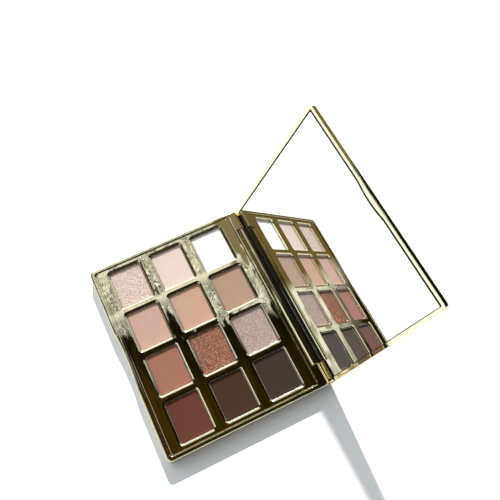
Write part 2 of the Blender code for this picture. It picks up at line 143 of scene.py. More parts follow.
# Fineness of the meshes
CORNER_STEPS = 16
EDGE_STEPS = 7
RIM_STEPS = 8
SCOOP_STEPS = 90
ROUND_SIDES = 96
DISH_SIDES = 128
MITRE_LIMIT = 0.5
FLAT = 0.99
MOUTH_CLEAR = 0.003 * MM
SHARP_ANGLE = math.radians(32)
NORMAL_WEIGHT = 60

ROWS = ("front", "middle", "back")
COLUMNS = (1, 2, 3, 4)


# ---------------------------------------------------------------- mesh helpers


def mesh_object(name, mesh_edit):
    bmesh.ops.recalc_face_normals(mesh_edit, faces=mesh_edit.faces)
    mesh = bpy.data.meshes.new(name)
    mesh_edit.to_mesh(mesh)
    mesh_edit.free()
    obj = bpy.data.objects.new(name, mesh)
    bpy.context.scene.collection.objects.link(obj)
    return obj


def rounded_outline(low, high, corner, front_scoop=None):
    """A rounded rectangle, counter-clockwise, whose front edge may bow inwards."""
    centres = (
        (high[0] - corner, high[1] - corner),
        (low[0] + corner, high[1] - corner),
        (low[0] + corner, low[1] + corner),
        (high[0] - corner, low[1] + corner),
    )
    points = []
    for quarter, (x, y) in enumerate(centres):
        if quarter == 3 and front_scoop:
            points += scooped_edge(low[1], *front_scoop)
        for step in range(CORNER_STEPS + 1):
            angle = (quarter + step / CORNER_STEPS) * math.pi / 2
            points.append((x + corner * math.cos(angle), y + corner * math.sin(angle)))
    return points


def scooped_edge(edge_y, chord, depth):
    """The points of a straight edge that bows inwards on an arc, blended at both ends."""
    radius = (chord * chord / 4 + depth * depth) / (2 * depth)
    reach = chord / 2 + BOW_MARGIN
    points = []
    for step in range(SCOOP_STEPS + 1):
        x = -reach + 2 * reach * step / SCOOP_STEPS
        rise = depth - radius + math.sqrt(radius * radius - x * x)
        points.append((x, edge_y + (rise + math.hypot(rise, BOW_BLEND)) / 2))
    return points


def offset_outline(points, growth):
    """The outline moved outwards by growth, mitred at each point."""
    moved = []
    count = len(points)
    for i, (x, y) in enumerate(points):
        before = Vector(points[i]) - Vector(points[i - 1])
        after = Vector(points[(i + 1) % count]) - Vector(points[i])
        first = Vector((before.y, -before.x)).normalized()
        second = Vector((after.y, -after.x)).normalized()
        middle = (first + second).normalized()
        reach = growth / max(middle.dot(first), MITRE_LIMIT)
        moved.append((x + middle.x * reach, y + middle.y * reach))
    return moved


def rounded_tiers(bottom, top, bottom_round=0.0, top_round=0.0):
    """Heights and growths of a block's outline, with its bottom and top edges rounded."""
    tiers = []
    for step in range(EDGE_STEPS + 1 if bottom_round else 1):
        angle = step / EDGE_STEPS * math.pi / 2
        rise = bottom_round * (1 - math.cos(angle))
        tiers.append((bottom + rise, -bottom_round * (1 - math.sin(angle))))
    for step in range(EDGE_STEPS + 1 if top_round else 1):
        angle = step / EDGE_STEPS * math.pi / 2
        rise = top_round * (1 - math.sin(angle))
        tiers.append((top - rise, -top_round * (1 - math.cos(angle))))
    return tiers


def lipped_tiers(bottom, mouth, lip):
    """Heights and growths of a cutter that leaves a lip rolling gently into its hollow."""
    width, drop = lip
    steepest = 2 * math.atan2(drop, width)
    radius = width / math.sin(steepest)
    tiers = [(bottom, 0.0)]
    for step in range(EDGE_STEPS + 1):
        slope = steepest * (1 - step / EDGE_STEPS)
        height = mouth - radius * (1 - math.cos(slope)) + MOUTH_CLEAR * step / EDGE_STEPS
        tiers.append((height, width - radius * math.sin(slope)))
    tiers.append((mouth + CUT_PAST, width))
    return tiers


def chamfered_tiers(bottom, mouth, chamfer):
    """Heights and growths of a cutter that leaves a shallow flat chamfer at its mouth."""
    width, drop = chamfer
    straight = [(bottom, 0.0), (mouth - drop, 0.0)]
    return straight + [(mouth + drop, 2 * width), (mouth + CUT_PAST, 2 * width)]


def loft_into(mesh_edit, outline, tiers):
    """Adds one closed block: an outline carried up through its tiers."""
    rings = []
    for height, growth in tiers:
        ring = offset_outline(outline, growth) if growth else outline
        rings.append([mesh_edit.verts.new((x, y, height)) for x, y in ring])
    count = len(outline)
    for lower, upper in zip(rings, rings[1:]):
        for i in range(count):
            j = (i + 1) % count
            mesh_edit.faces.new((lower[i], lower[j], upper[j], upper[i]))
    mesh_edit.faces.new(reversed(rings[0]))
    mesh_edit.faces.new(rings[-1])


def block(name, outline, tiers):
    mesh_edit = bmesh.new()
    loft_into(mesh_edit, outline, tiers)
    return mesh_object(name, mesh_edit)


def box(name, low, high):
    mesh_edit = bmesh.new()
    bmesh.ops.create_cube(mesh_edit, size=1.0)
    bmesh.ops.scale(mesh_edit, vec=Vector(high) - Vector(low), verts=mesh_edit.verts)
    bmesh.ops.translate(mesh_edit, vec=(Vector(high) + Vector(low)) / 2, verts=mesh_edit.verts)
    return mesh_object(name, mesh_edit)


def turned(name, start, end, profile):
    """A round piece between two points; profile lists (share of the length, radius)."""
    along = Vector(end) - Vector(start)
    turn = Vector((0, 0, 1)).rotation_difference(along).to_matrix().to_4x4()
    place = Matrix.Translation(start) @ turn
    mesh_edit = bmesh.new()
    rings = []
    for share, radius in profile:
        ring = []
        for side in range(ROUND_SIDES):
            angle = 2 * math.pi * side / ROUND_SIDES
            around = (radius * math.cos(angle), radius * math.sin(angle))
            ring.append(mesh_edit.verts.new(place @ Vector((*around, share * along.length))))
        rings.append(ring)
    for lower, upper in zip(rings, rings[1:]):
        for i in range(ROUND_SIDES):
            j = (i + 1) % ROUND_SIDES
            mesh_edit.faces.new((lower[i], lower[j], upper[j], upper[i]))
    mesh_edit.faces.new(reversed(rings[0]))
    mesh_edit.faces.new(rings[-1])
    return mesh_object(name, mesh_edit)


def rod(name, start, end, radius, chamfer=0.0):
    length = (Vector(end) - Vector(start)).length
    if not chamfer:
        return turned(name, start, end, ((0, radius), (1, radius)))
    share = chamfer / length
    profile = ((0, radius - chamfer), (share, radius), (1 - share, radius), (1, radius - chamfer))
    return turned(name, start, end, profile)


def combine(obj, other, operation):
    """Applies one Boolean with the other object, which is used up."""
    modifier = obj.modifiers.new("boolean", "BOOLEAN")
    modifier.operation = operation
    modifier.solver = "EXACT"
    modifier.object = other
    bpy.context.view_layer.update()
    made = obj.evaluated_get(bpy.context.evaluated_depsgraph_get())
    result = bpy.data.meshes.new_from_object(made)
    obj.modifiers.remove(modifier)
    old = obj.data
    obj.data = result
    result.name = obj.name
    bpy.data.meshes.remove(old)
    bpy.data.objects.remove(other)


def tilted_slab(name, low, high, tilt):
    """A long slab between two corners (Y and Z from the hinge axis), turned about the axis."""
    slab = box(name, (-2 * OUTER_HIGH.x, *low), (2 * OUTER_HIGH.x, *high))
    slab.data.transform(Matrix.Translation(HINGE) @ Matrix.Rotation(tilt, 4, "X"))
    return slab


def finished(obj, finish, body, nodes, opened=False, eased=0.0):
    """Shades a piece, hangs it on its body and lets it stand for its CAD nodes."""
    mesh = obj.data
    if opened:
        turn = Matrix.Rotation(-OPEN_ANGLE, 4, "X")
        mesh.transform(Matrix.Translation(HINGE) @ turn @ Matrix.Translation(-HINGE))
    indices = [polygon.material_index for polygon in mesh.polygons]
    mesh.materials.clear()
    for each in finish if isinstance(finish, tuple) else (finish,):
        mesh.materials.append(each)
    mesh.polygons.foreach_set("material_index", indices)
    mesh.shade_smooth()
    if eased:
        ease = obj.modifiers.new("eased edges", "BEVEL")
        ease.width = eased
        ease.segments = 2
        ease.limit_method = "ANGLE"
        ease.angle_limit = SHARP_ANGLE
        ease.use_clamp_overlap = True
    else:
        mesh.set_sharp_from_angle(angle=SHARP_ANGLE)
    weigh = obj.modifiers.new("flat faces stay flat", "WEIGHTED_NORMAL")
    weigh.keep_sharp = True
    weigh.weight = NORMAL_WEIGHT
    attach(obj, body)
    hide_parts(*nodes)
    return obj


def grown_box(low, high, growth):
    return (low[0] - growth, low[1] - growth), (high[0] + growth, high[1] + growth)


# ---------------------------------------------------------------- materials


# The range that most of a noise texture's values lie in
NOISE_RANGE = (0.3, 0.7)


def rgb(red, green, blue):
    return (red, green, blue, 1.0)


GOLD_BRIGHT = rgb(0.95, 0.89, 0.64)
GOLD_DEEP = rgb(0.93, 0.87, 0.61)
SILVER = rgb(0.93, 0.94, 0.935)
SILVER_DULL = rgb(0.91, 0.925, 0.92)
# Painted shade for the dark gaps by the hinge and behind the mirror: near black, with brown lines
# as painted reflections
PAINTED_SHADE_BLACK = rgb(0.0025, 0.0018, 0.0008)
PAINTED_REFLECTION_BROWN = rgb(0.026, 0.015, 0.004)
GLASS_GREEN = rgb(0.02, 0.035, 0.03)
GLASS_GREEN_PALE = rgb(0.03, 0.05, 0.045)
TIN_GREY = rgb(0.90, 0.89, 0.87)
STEEL_GREY = rgb(0.60, 0.60, 0.61)
KEEPER_GREY = rgb(0.56, 0.56, 0.57)
NICKEL_GREY = rgb(0.62, 0.61, 0.58)
LABEL_WHITE = rgb(0.80, 0.78, 0.73)
FOAM_WHITE = rgb(0.70, 0.69, 0.66)
FLOOR_WHITE = rgb(0.90, 0.90, 0.90)
FLOOR_GREY = rgb(0.88, 0.88, 0.88)


def shade(colour, share):
    """The same colour, darkened to a share of its brightness."""
    return [value * share for value in colour[:3]] + [1.0]


class Nodes:
    """Short calls for a material's node tree."""

    def __init__(self, name):
        self.material = bpy.data.materials.new(name)
        self.material.use_nodes = True
        self.tree = self.material.node_tree
        self.shader = self.tree.nodes["Principled BSDF"]
        self.place = self.tree.nodes.new("ShaderNodeTexCoord").outputs["Object"]

    def feed(self, socket, value):
        if isinstance(value, bpy.types.NodeSocket):
            self.tree.links.new(value, socket)
        else:
            socket.default_value = value

    def add(self, kind, **inputs):
        node = self.tree.nodes.new(kind)
        for key, value in inputs.items():
            self.feed(node.inputs[key.replace("_", " ")], value)
        return node

    def link(self, source, target):
        self.tree.links.new(source, self.shader.inputs[target])

    def set(self, **values):
        for key, value in values.items():
            self.shader.inputs[key.replace("_", " ")].default_value = value

    def noise(self, scale, detail=2.0, roughness=0.5, place=None):
        node = self.add("ShaderNodeTexNoise", Vector=place or self.place, Scale=scale)
        node.inputs["Detail"].default_value = detail
        node.inputs["Roughness"].default_value = roughness
        return node.outputs["Fac"]

    def stretched_noise(self, place, scale, detail):
        """Noise with its own scale along each axis."""
        spread = self.add("ShaderNodeMapping", Vector=place, Scale=scale)
        return self.noise(1.0, detail, place=spread.outputs["Vector"])

    def span(self, value, low, high, to_low=0.0, to_high=1.0):
        node = self.add("ShaderNodeMapRange", Value=value)
        limits = {"From Min": low, "From Max": high, "To Min": to_low, "To Max": to_high}
        for key, number in limits.items():
            node.inputs[key].default_value = number
        return node.outputs["Result"]

    def blend(self, factor, first, second):
        """A mix of two colours."""
        node = self.tree.nodes.new("ShaderNodeMix")
        node.data_type = "RGBA"
        self.feed(node.inputs["Factor"], factor)
        self.feed(node.inputs[6], first)
        self.feed(node.inputs[7], second)
        return node.outputs[2]

    def mix(self, factor, first, second):
        """A mix of two numbers."""
        node = self.tree.nodes.new("ShaderNodeMix")
        self.feed(node.inputs[0], factor)
        self.feed(node.inputs[2], first)
        self.feed(node.inputs[3], second)
        return node.outputs[0]

    def math(self, operation, first, second):
        node = self.tree.nodes.new("ShaderNodeMath")
        node.operation = operation
        self.feed(node.inputs[0], first)
        self.feed(node.inputs[1], second)
        return node.outputs[0]

    def product(self, first, *others):
        for other in others:
            first = self.math("MULTIPLY", first, other)
        return first

    def vector_math(self, operation, first, second=None):
        node = self.add("ShaderNodeVectorMath", Vector=first)
        node.operation = operation
        if second is not None:
            self.feed(node.inputs["Scale" if operation == "SCALE" else 1], second)
        return node.outputs["Vector"]

    def bump(self, height, distance, strength=1.0, normal=None):
        node = self.add("ShaderNodeBump", Height=height, Distance=distance, Strength=strength)
        if normal:
            self.tree.links.new(normal, node.inputs["Normal"])
        return node.outputs["Normal"]

    def only_shine(self):
        """Makes the material give off light and nothing else; its emission node."""
        self.tree.nodes.remove(self.shader)
        emission = self.tree.nodes.new("ShaderNodeEmission")
        output = self.tree.nodes["Material Output"]
        self.tree.links.new(emission.outputs[0], output.inputs["Surface"])
        return emission


def gold(name, swell, swell_scale, roughness=(0.012, 0.03)):
    """Bright plated plastic: a mirror gloss over slightly uneven moulding, with hairline wear."""
    made = Nodes(name)
    tint = made.span(made.noise(90.0, 3.0), 0.35, 0.65)
    made.link(made.blend(tint, GOLD_BRIGHT, GOLD_DEEP), "Base Color")
    made.set(Metallic=1.0)
    stretch = {"Scale": (1.0, 0.06, 1.0), "Rotation": (0.0, 0.0, 0.5)}
    hairline = made.add("ShaderNodeMapping", Vector=made.place, **stretch)
    scratches = made.noise(2600.0, 2.0, 0.6, hairline.outputs["Vector"])
    made.link(made.span(scratches, 0.3, 0.8, *roughness), "Roughness")
    wave = made.bump(made.noise(swell_scale, 1.5, 0.45), swell)
    made.link(made.bump(scratches, 0.0003 * MM, 0.6, wave), "Normal")
    return made.material


def matte_powder(name, colour, deep):
    """Pressed matte powder with fine grain and faint cloudy unevenness."""
    made = Nodes(name)
    cloud = made.span(made.noise(260.0, 4.0, 0.6), *NOISE_RANGE)
    grain = made.span(made.noise(3800.0, 2.0, 0.7), *NOISE_RANGE)
    base = made.blend(cloud, colour, shade(colour, 0.94))
    speckled = made.blend(made.math("MULTIPLY", grain, deep), base, shade(colour, 0.72))
    made.link(speckled, "Base Color")
    made.set(Roughness=0.92, Sheen_Weight=0.12, Sheen_Roughness=0.6, Specular_IOR_Level=0.25)
    soft = made.bump(made.noise(500.0, 3.0), 0.05 * MM, 0.5)
    made.link(made.bump(grain, 0.03 * MM, 0.5, soft), "Normal")
    return made.material


def sparkling_powder(name, colour, glint_colour, share, flakes_per_metre, strength, uneven):
    """Pressed powder with pearly flakes that each catch the light at their own angle, with glints
    also painted into the base colour as brighter, paler flakes.
    """
    made = Nodes(name)
    cloud = made.span(made.noise(300.0, 4.0, 0.6), *NOISE_RANGE)
    base = made.blend(cloud, colour, shade(colour, 0.88))
    flakes = made.add("ShaderNodeTexVoronoi", Vector=made.place, Scale=flakes_per_metre)
    pick = made.add("ShaderNodeSeparateColor", Color=flakes.outputs["Color"])
    # Some flakes are painted much brighter than the powder: painted glints in the base colour
    glint_peaks = made.math("POWER", pick.outputs["Green"], 3.0)
    level = made.span(glint_peaks, 0.0, 1.0, 1 - 0.5 * uneven, 1 + 1.7 * uneven)
    base = made.vector_math("SCALE", base, level)
    glinting_flakes = made.span(pick.outputs["Red"], 1 - share - 0.02, 1 - share + 0.02)
    # The chosen flakes are painted paler as painted glints; their higher specular, lower roughness
    # and tilted normals give real shine
    made.link(made.blend(made.math("MULTIPLY", glinting_flakes, strength), base, glint_colour), "Base Color")
    made.link(made.span(glinting_flakes, 0.0, 1.0, 0.1, 1.0), "Specular IOR Level")
    made.link(made.span(glinting_flakes, 0.0, 1.0, 0.85, 0.22), "Roughness")
    facing = leaning_normal(made, flakes.outputs["Color"], 0.9)
    grain = made.noise(3800.0, 2.0, 0.7)
    made.link(made.bump(grain, 0.03 * MM, 0.4, facing), "Normal")
    return made.material


def leaning_normal(made, lean, amount):
    """The surface's normal, tilted by a colour whose middle grey means upright."""
    centred = made.vector_math("SUBTRACT", lean, (0.5, 0.5, 0.5))
    tilt = made.vector_math("SCALE", centred, amount)
    normal = made.tree.nodes.new("ShaderNodeNewGeometry").outputs["Normal"]
    return made.vector_math("NORMALIZE", made.vector_math("ADD", tilt, normal))


def plain_metal(name, colour, roughness):
    """Metal with a fine brushed grain."""
    made = Nodes(name)
    line = made.add("ShaderNodeMapping", Vector=made.place, Scale=(1.0, 0.04, 1.0))
    brushed = made.noise(3000.0, 2.0, 0.6, line.outputs["Vector"])
    made.link(made.blend(brushed, colour, shade(colour, 0.86)), "Base Color")
    made.link(made.span(brushed, *NOISE_RANGE, roughness * 0.8, roughness * 1.2), "Roughness")
    made.set(Metallic=1.0)
    made.link(made.bump(brushed, 0.004 * MM, 0.5), "Normal")
    return made.material


def mirror_glass():
    """Silvered glass: near perfect, with a breath of haze in places."""
    made = Nodes("mirror_silvered_glass")
    made.link(made.span(made.noise(35.0, 4.0, 0.6), 0.45, 0.8, 0.0, 0.02), "Roughness")
    made.link(made.blend(made.noise(20.0, 2.0), SILVER, SILVER_DULL), "Base Color")
    made.set(Metallic=1.0)
    return made.material


def painted_gap_shade():
    """Near-black painted shade for the dark gaps, with faint brown lines drawn out along the hinge
    as painted reflections.
    """
    made = Nodes("hinge_and_recess_painted_shade")
    grain = made.noise(1500.0, 2.0)
    # Faint brown lines along the hinge: painted reflections in the painted shade
    drawn = made.span(made.stretched_noise(made.place, (8.0, 1100.0, 1100.0), 2.0), 0.42, 0.62)
    made.link(made.blend(drawn, PAINTED_SHADE_BLACK, PAINTED_REFLECTION_BROWN), "Base Color")
    made.link(made.span(grain, *NOISE_RANGE, 0.45, 0.6), "Roughness")
    made.set(Specular_IOR_Level=0.12)
    return made.material


def glass_edge():
    """The ground edge of the mirror."""
    made = Nodes("mirror_ground_edge")
    grain = made.noise(2500.0, 2.0)
    made.link(made.blend(grain, GLASS_GREEN, GLASS_GREEN_PALE), "Base Color")
    made.set(Specular_IOR_Level=0.2)
    made.link(made.span(grain, *NOISE_RANGE, 0.25, 0.4), "Roughness")
    return made.material


def paper(name, colour):
    """Soft fibres: paper or foam."""
    made = Nodes(name)
    fibre = made.noise(1800.0, 4.0, 0.7)
    made.link(made.blend(fibre, colour, shade(colour, 0.93)), "Base Color")
    made.link(made.span(fibre, *NOISE_RANGE, 0.6, 0.75), "Roughness")
    made.link(made.bump(fibre, 0.02 * MM, 0.5), "Normal")
    return made.material


# ---------------------------------------------------------------- the base


def base_casing(finish):
    outline = rounded_outline(OUTER_LOW.xy, OUTER_HIGH.xy, OUTER_CORNER, NOTCH)
    shell = block("base_casing", outline, rounded_tiers(0.0, BASE_HEIGHT, EDGE_ROUND, EDGE_ROUND))
    seat_low = Vector((OUTER_LOW.x + RIM_WIDTH, SEAT_FRONT))
    seat_high = Vector((OUTER_HIGH.x - RIM_WIDTH, DECK_HIGH.y + CLEARANCE))
    seat_bottom = DECK_TOP - DECK_THICKNESS - CLEARANCE
    seat = rounded_outline(seat_low, seat_high, DECK_CORNER + CLEARANCE)
    seat_tiers = chamfered_tiers(seat_bottom, BASE_HEIGHT, RIM_CHAMFER)
    combine(shell, block("cut", seat, seat_tiers), "DIFFERENCE")
    cavity = rounded_outline(*grown_box(seat_low, seat_high, -LEDGE_WIDTH), DECK_CORNER)
    combine(shell, block("cut", cavity, rounded_tiers(FLOOR_THICKNESS, DECK_TOP)), "DIFFERENCE")
    slot_low = (-BARREL_LENGTH / 2 - CLEARANCE, SLOT_FRONT, SLOT_FLOOR)
    slot_high = (BARREL_LENGTH / 2 + CLEARANCE, OUTER_HIGH.y + CUT_PAST, BASE_HEIGHT + CUT_PAST)
    combine(shell, box("cut", slot_low, slot_high), "DIFFERENCE")
    for sign in (-1, 1):
        start = (sign * (BARREL_LENGTH / 2 - CUT_PAST), HINGE.y, HINGE.z)
        end = (sign * (OUTER_HIGH.x + CUT_PAST), HINGE.y, HINGE.z)
        combine(shell, rod("cut", start, end, PIN_HOLE_RADIUS), "DIFFERENCE")
    label_low, label_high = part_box("base_label")
    label = rounded_outline(*grown_box(label_low, label_high, CLEARANCE), WINDOW_CORNER)
    recess = label_high.z + GLUE_GAP
    combine(shell, block("cut", label, rounded_tiers(-CUT_PAST, recess)), "DIFFERENCE")
    relief_low = (HEEL_RELIEF, -RELIEF_HALF_HEIGHT)
    relief_high = (HEEL_RELIEF + RELIEF_REACH, RELIEF_HALF_HEIGHT)
    combine(shell, tilted_slab("cut", relief_low, relief_high, RELIEF_TILT), "DIFFERENCE")
    return finished(shell, finish, "base", ["base_shell"], eased=EASED_EDGE)


def window(row, column):
    low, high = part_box(f"shade_{row}_{column}")
    return grown_box(low, high, WINDOW_TO_CAKE)


def deck(finish):
    outline = rounded_outline(DECK_LOW.xy, DECK_HIGH.xy, DECK_CORNER)
    sheet = rounded_tiers(DECK_TOP - DECK_THICKNESS, DECK_TOP, 0.0, DECK_EDGE)
    tray = block("pan_deck", outline, sheet)
    cups = bmesh.new()
    pockets = bmesh.new()
    for row in ROWS:
        for column in COLUMNS:
            low, high = window(row, column)
            wall = rounded_outline(*grown_box(low, high, CUP_WALL), WINDOW_CORNER + CUP_WALL)
            loft_into(cups, wall, rounded_tiers(DECK_LOW.z, DECK_TOP - DECK_THICKNESS / 2))
            hollow = rounded_outline(low, high, WINDOW_CORNER)
            loft_into(pockets, hollow, lipped_tiers(DECK_LOW.z + CUP_WALL, DECK_TOP, WINDOW_LIP))
    combine(tray, mesh_object("cut", cups), "UNION")
    combine(tray, mesh_object("cut", pockets), "DIFFERENCE")
    return finished(tray, finish, "base", ["deck_tray"])


def tin(row, column, finish):
    """A drawn metal tin with a rolled rim."""
    node = f"tin_{row}_{column}"
    low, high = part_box(node)
    outline = rounded_outline(low, high, WINDOW_CORNER - TIN_GAP)
    half = TIN_WALL / 2
    tiers = rounded_tiers(low.z, high.z - half, TIN_FOOT, 0.0)
    for step in range(RIM_STEPS + 1):
        angle = step / RIM_STEPS * math.pi
        tiers.append((high.z - half + half * math.sin(angle), -half * (1 - math.cos(angle))))
    tiers.append((low.z + TIN_WALL, -TIN_WALL))
    return finished(block(f"drawn_{node}", outline, tiers), finish, "base", [node])


def cake(row, column, finish):
    """Pressed powder: a softly uneven top that rounds off at its edge."""
    node = f"shade_{row}_{column}"
    low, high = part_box(node)
    high = high - Vector((0.0, 0.0, CAKE_SUNK))
    outline = rounded_outline(low, high, WINDOW_CORNER - WINDOW_TO_CAKE)
    mesh_edit = bmesh.new()
    loft_into(mesh_edit, outline, rounded_tiers(low.z, high.z, 0.0, CAKE_EDGE))
    divide(mesh_edit, low, high)
    seed = Vector((ROWS.index(row) * ROW_SEED, column * COLUMN_SEED, 0.0))
    roughen_top(mesh_edit, low, high, seed)
    powder = mesh_object(f"powder_{row}_{column}", mesh_edit)
    return finished(powder, finish, "base", [node])


def divide(mesh_edit, low, high):
    """Cuts a block into a grid of columns, so that its top can be shaped."""
    for axis, count in enumerate(CAKE_GRID):
        for step in range(1, count):
            spot = low.lerp(high, step / count)
            along = Vector((axis == 0, axis == 1, 0))
            everything = mesh_edit.verts[:] + mesh_edit.edges[:] + mesh_edit.faces[:]
            bmesh.ops.bisect_plane(mesh_edit, geom=everything, plane_co=spot, plane_no=along)


def roughen_top(mesh_edit, low, high, seed):
    """Sinks the top by a little noise, which fades out towards the rounded edge."""
    near = 0.01 * MM
    for vert in mesh_edit.verts:
        x, y, z = vert.co
        inside = min(x - low.x, high.x - x, y - low.y, high.y - y)
        if z > high.z - near and inside > CAKE_EDGE:
            swell = noise.noise(vert.co * SWELLS_PER_METRE + seed) * 0.5 - 0.5
            vert.co.z += SWELL_DEPTH * swell * min(1.0, (inside - CAKE_EDGE) / SWELL_FADE)


def hinge_pins(finish):
    for side in ("left", "right"):
        low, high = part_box(f"hinge_pin_{side}")
        radius = (high.z - low.z) / 2
        start = (low.x, HINGE.y, HINGE.z)
        end = (high.x, HINGE.y, HINGE.z)
        pin = rod(f"pin_{side}", start, end, radius, PIN_CHAMFER)
        finished(pin, finish, "base", [f"hinge_pin_{side}"])


def label(finish):
    low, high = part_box("base_label")
    outline = rounded_outline(low, high, WINDOW_CORNER)
    sheet = block("blank_label", outline, rounded_tiers(low.z, high.z, LABEL_ROUND, LABEL_ROUND))
    finished(sheet, finish, "base", ["base_label"])


# ---------------------------------------------------------------- the lid


RECESS_LOW = (OUTER_LOW.x + LID_RIM, OUTER_LOW.y + LID_FRONT_RIM)
RECESS_HIGH = (OUTER_HIGH.x - LID_RIM, RECESS_BACK)
MIRROR_LOW = (RECESS_LOW[0] + MIRROR_GAPS["left"], RECESS_LOW[1] + MIRROR_GAPS["front"])
MIRROR_HIGH = (RECESS_HIGH[0] - MIRROR_GAPS["right"], RECESS_HIGH[1] - MIRROR_GAPS["back"])


def dish_cutter():
    """A shallow bowl under the lid's front edge, which a fingertip catches."""
    mesh_edit = bmesh.new()
    centre = (0.0, OUTER_LOW.y - DISH_AHEAD, LID_BOTTOM)
    sides = {"u_segments": DISH_SIDES, "v_segments": DISH_SIDES // 2}
    bmesh.ops.create_uvsphere(mesh_edit, radius=1.0, **sides)
    bmesh.ops.scale(mesh_edit, vec=DISH, verts=mesh_edit.verts)
    bmesh.ops.translate(mesh_edit, vec=centre, verts=mesh_edit.verts)
    return mesh_object("cut", mesh_edit)


def lid_casing(finish, painted_shade):
    outline = rounded_outline(OUTER_LOW.xy, OUTER_HIGH.xy, OUTER_CORNER)
    tiers = rounded_tiers(LID_BOTTOM, LID_TOP, LID_EDGE, LID_TOP_ROUND)
    shell = block("lid_casing", outline, tiers)
    hollow_lid(shell)
    stop = OUTER_HIGH.y + CLEARANCE - HINGE.y
    heel_top = (LID_BOTTOM - HINGE.z) * math.cos(OPEN_ANGLE)
    heel_low = (stop - HEEL_REACH, heel_top - HEEL_HEIGHT)
    combine(shell, tilted_slab("cut", heel_low, (stop, heel_top), OPEN_ANGLE), "DIFFERENCE")
    add_barrel(shell)
    darken(shell)
    # The second finish paints the recess and the strip beside the barrel black as painted shade
    finishes = (finish, painted_shade)
    nodes = ["lid_shell"]
    return finished(shell, finishes, "lid", nodes, opened=True, eased=EASED_EDGE)


def hollow_lid(shell):
    """Cuts the mirror's recess, the finger dish and the seat of the outer panel."""
    upside_down = lipped_tiers(2 * LID_BOTTOM - RECESS_TOP, LID_BOTTOM, RECESS_LIP)
    tiers = [(2 * LID_BOTTOM - height, growth) for height, growth in upside_down]
    recess = rounded_outline(RECESS_LOW, RECESS_HIGH, MIRROR_CORNER, SCOOP)
    combine(shell, block("cut", recess, tiers), "DIFFERENCE")
    combine(shell, dish_cutter(), "DIFFERENCE")
    panel_box = grown_box(OUTER_LOW, OUTER_HIGH, GLUE_GAP - PANEL_INSET)
    panel = rounded_outline(*panel_box, PANEL_CORNER + GLUE_GAP)
    panel_tiers = rounded_tiers(LID_TOP - PANEL_THICKNESS - GLUE_GAP, LID_TOP + CUT_PAST)
    combine(shell, block("cut", panel, panel_tiers), "DIFFERENCE")


def add_barrel(shell):
    """Joins the hinge barrel to the lid by its web, and drills the barrel's ends for the pins."""
    web_low = (-BARREL_LENGTH / 2, HINGE.y + WEB[0], HINGE.z)
    web_high = (BARREL_LENGTH / 2, HINGE.y + WEB[1], LID_BOTTOM + WEB_INTO_LID)
    combine(shell, box("cut", web_low, web_high), "UNION")
    start = (-BARREL_LENGTH / 2, HINGE.y, HINGE.z)
    end = (BARREL_LENGTH / 2, HINGE.y, HINGE.z)
    combine(shell, rod("cut", start, end, BARREL_RADIUS, BARREL_CHAMFER), "UNION")
    for sign in (-1, 1):
        deep = (sign * (BARREL_LENGTH / 2 - PIN_REACH - CLEARANCE), HINGE.y, HINGE.z)
        mouth = (sign * (BARREL_LENGTH / 2 + CUT_PAST), HINGE.y, HINGE.z)
        combine(shell, rod("cut", deep, mouth, PIN_HOLE_RADIUS), "DIFFERENCE")


def darken(shell):
    """Paints the recess behind the mirror, and the strip beside the barrel, black as painted
    shade.
    """
    near = 0.1 * MM
    barrel = BARREL_RADIUS + 0.02 * MM
    low, high = grown_box(RECESS_LOW, RECESS_HIGH, near)
    for polygon in shell.data.polygons:
        x, y, z = polygon.center
        in_plan = low[0] < x < high[0] and low[1] < y < high[1]
        in_recess = in_plan and LID_BOTTOM + near < z < RECESS_TOP + near
        off_barrel = math.hypot(y - HINGE.y, z - HINGE.z) > barrel
        beside_barrel = RECESS_BACK < y < HINGE.y and z < LID_BOTTOM - near / 2 and off_barrel
        polygon.material_index = 1 if in_recess or beside_barrel else 0


def mirror(face, edge):
    tiers = (
        (MIRROR_FACE, -MIRROR_CHAMFER),
        (MIRROR_FACE + MIRROR_CHAMFER, 0.0),
        (MIRROR_FACE + MIRROR_THICKNESS - MIRROR_CHAMFER, 0.0),
        (MIRROR_FACE + MIRROR_THICKNESS, -MIRROR_CHAMFER),
    )
    outline = rounded_outline(MIRROR_LOW, MIRROR_HIGH, MIRROR_CORNER - CLEARANCE, SCOOP)
    glass = block("looking_glass", outline, tiers)
    for polygon in glass.data.polygons:
        polygon.material_index = 0 if abs(polygon.normal.z) > FLAT else 1
    return finished(glass, (face, edge), "lid", ["mirror"], opened=True)


def top_panel(finish):
    outline = rounded_outline(*grown_box(OUTER_LOW, OUTER_HIGH, -PANEL_INSET), PANEL_CORNER)
    tiers = rounded_tiers(LID_TOP - PANEL_THICKNESS, LID_TOP, 0.0, PANEL_ROUND)
    panel = block("top_panel", outline, tiers)
    finished(panel, finish, "lid", ["lid_panel"], opened=True)


# ---------------------------------------------------------------- the powders

# Colour, and how deep its grain is
MATTE = {
    ("front", 2): ((0.526, 0.323, 0.257), 0.35),
    ("front", 3): ((0.313, 0.129, 0.089), 0.35),
    ("front", 4): ((0.113, 0.029, 0.015), 0.35),
    ("middle", 1): ((0.667, 0.534, 0.462), 0.25),
    ("middle", 2): ((0.491, 0.303, 0.209), 0.30),
    ("middle", 4): ((0.047, 0.016, 0.004), 0.35),
    ("back", 1): ((0.86, 0.84, 0.81), 0.15),
    ("back", 2): ((0.381, 0.246, 0.173), 0.30),
    ("back", 4): ((0.033, 0.019, 0.011), 0.35),
}
